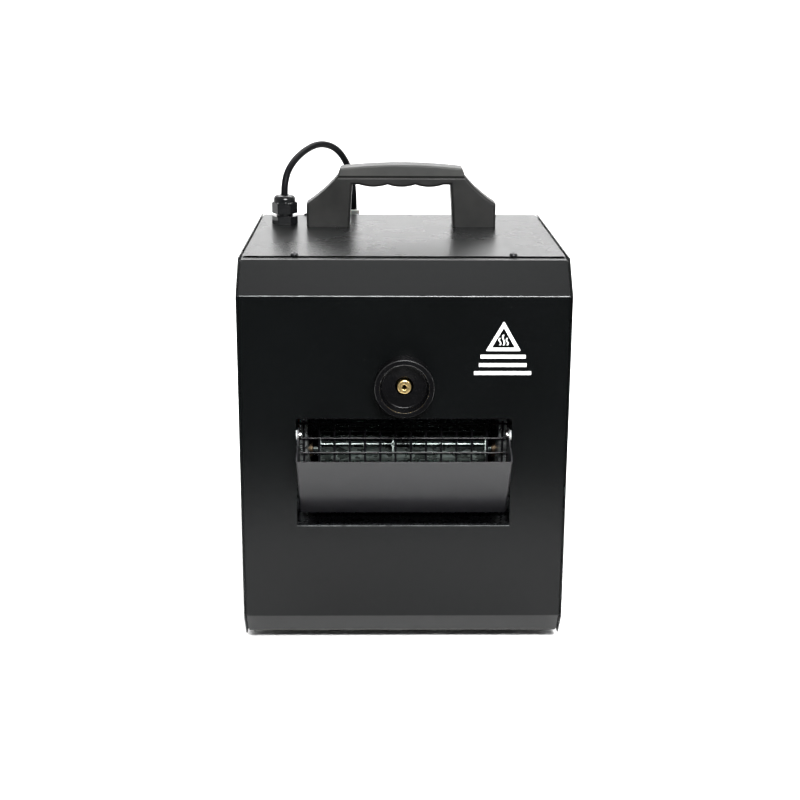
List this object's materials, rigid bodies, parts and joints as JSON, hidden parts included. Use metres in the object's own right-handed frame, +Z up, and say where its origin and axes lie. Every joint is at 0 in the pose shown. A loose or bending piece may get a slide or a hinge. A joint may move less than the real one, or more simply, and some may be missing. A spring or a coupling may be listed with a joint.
{
  "type": "fog machine",
  "caption": "Upright theatrical fog machine in black sheet steel with a dished nozzle, a blower outlet behind a tilting deflector, a carrying handle and a rear fluid tank.",
  "frame": {"origin": "on the floor, midway between the sides and midway between the deflector's lip and the rear edge of the base", "axes": "+X to the right seen from the front, +Y from the front panel to the rear, +Z up"},
  "size_m": [0.2978, 0.4616, 0.4404],
  "materials": {
    "black_powder_coat": "fine textured semi-gloss powder coat",
    "black_wire": "satin black",
    "handle_plastic": "matte moulded nylon",
    "gland_plastic": "smooth nylon",
    "hose_black": "satin extruded hose",
    "seal_rubber": "matte",
    "bezel_black": "smooth satin black",
    "brass": "turned",
    "galvanised_steel": "zinc coated",
    "screw_black": "black oxide",
    "bright_steel": "nickel plated",
    "white_nylon": "matte",
    "motor_steel": "satin",
    "cast_aluminium": "as cast",
    "wool": "ceramic fibre",
    "pump_plastic": "matte",
    "copper_pipe": "drawn",
    "clear_hose": "translucent",
    "board_green": "solder mask",
    "board_black": "matte",
    "display_glass": "polished",
    "control_plastic": "fine matte",
    "socket_plastic": "matte",
    "rocker_red": "smooth",
    "tank_plastic": "natural polyethylene",
    "cap_plastic": "ribbed"
  },
  "bodies": {
    "machine": {"front_panel": "black_powder_coat", "top_panel": "black_powder_coat", "side_panel_left": "black_powder_coat", "side_panel_right": "black_powder_coat", "base_pan": "black_powder_coat", "rear_panel": "black_powder_coat", "panel_screws": "screw_black", "rubber_feet": "seal_rubber", "foot_screws": "screw_black", "carry_handle": "handle_plastic", "handle_grip_pad": "handle_plastic", "handle_screws": "screw_black", "gland_body": "gland_plastic", "gland_cap": "gland_plastic", "gland_locknut": "gland_plastic", "gland_seal": "seal_rubber", "fluid_hose": "hose_black", "hose_collar": "white_nylon", "dip_tube": "clear_hose", "suction_tube": "hose_black", "nozzle_bezel": "bezel_black", "nozzle": "brass", "nozzle_pipe": "brass", "guard_grille": "black_wire", "deflector_pivots": "bright_steel", "deflector_washers": "white_nylon", "blower_scroll": "galvanised_steel", "blower_end_plates": "galvanised_steel", "blower_bearings": "brass", "blower_motor": "motor_steel", "heater_block": "cast_aluminium", "heater_rods": "bright_steel", "thermostats": "bright_steel", "heater_insulation": "wool", "heater_shield": "galvanised_steel", "heater_brackets": "galvanised_steel", "pump_barrel": "pump_plastic", "pump_coil": "motor_steel", "pump_mounts": "seal_rubber", "pressure_pipe": "copper_pipe", "power_board": "board_green", "board_parts": "board_black", "board_standoffs": "brass", "control_board": "board_green", "display_window": "display_glass", "dmx_sockets": "socket_plastic", "power_inlet": "socket_plastic", "fuse_holder": "socket_plastic", "power_switch_frame": "socket_plastic", "fluid_tank": "tank_plastic", "tank_tray": "black_powder_coat"},
    "deflector": {"air_deflector": "black_powder_coat"},
    "rotor": {"blower_rotor": "galvanised_steel"},
    "rocker": {"power_rocker": "rocker_red"},
    "menu_button": {"button_menu": "control_plastic"},
    "down_button": {"button_down": "control_plastic"},
    "up_button": {"button_up": "control_plastic"},
    "enter_button": {"button_enter": "control_plastic"},
    "seal": {"cap_seal": "seal_rubber"},
    "cap": {"filler_cap": "cap_plastic"}
  },
  "joints": [
    {"name": "deflector_tilt", "type": "hinge", "parent": "machine", "child": "deflector", "pos_m": [0, -0.19273, 0.2055], "axis": [1, 0, 0], "range_deg": [-55, 5]},
    {"name": "rotor_spin", "type": "hinge", "parent": "machine", "child": "rotor", "pos_m": [0, -0.12023, 0.17], "axis": [1, 0, 0], "continuous": true},
    {"name": "power_rock", "type": "hinge", "parent": "machine", "child": "rocker", "pos_m": [0.078, 0.09517, 0.104], "axis": [0, 0, 1], "range_deg": [-20, 0]},
    {"name": "menu_press", "type": "slide", "parent": "machine", "child": "menu_button", "axis": [0, -1, 0], "range_m": [0, 0.0012], "stiffness_N_per_m": 300},
    {"name": "down_press", "type": "slide", "parent": "machine", "child": "down_button", "axis": [0, -1, 0], "range_m": [0, 0.0012], "stiffness_N_per_m": 300},
    {"name": "up_press", "type": "slide", "parent": "machine", "child": "up_button", "axis": [0, -1, 0], "range_m": [0, 0.0012], "stiffness_N_per_m": 300},
    {"name": "enter_press", "type": "slide", "parent": "machine", "child": "enter_button", "axis": [0, -1, 0], "range_m": [0, 0.0012], "stiffness_N_per_m": 300},
    {"name": "cap_rise", "type": "slide", "parent": "machine", "child": "seal", "axis": [0, 0, 1], "range_m": [0, 0.009]},
    {"name": "cap_turn", "type": "hinge", "parent": "seal", "child": "cap", "pos_m": [-0.062, 0.18577, 0.325], "axis": [0, 0, 1], "range_deg": [0, 1080]}
  ],
  "couplings": [
    {"joint": "cap_rise", "follows": "cap_turn", "m_per_rad": 0.00047746}
  ]
}
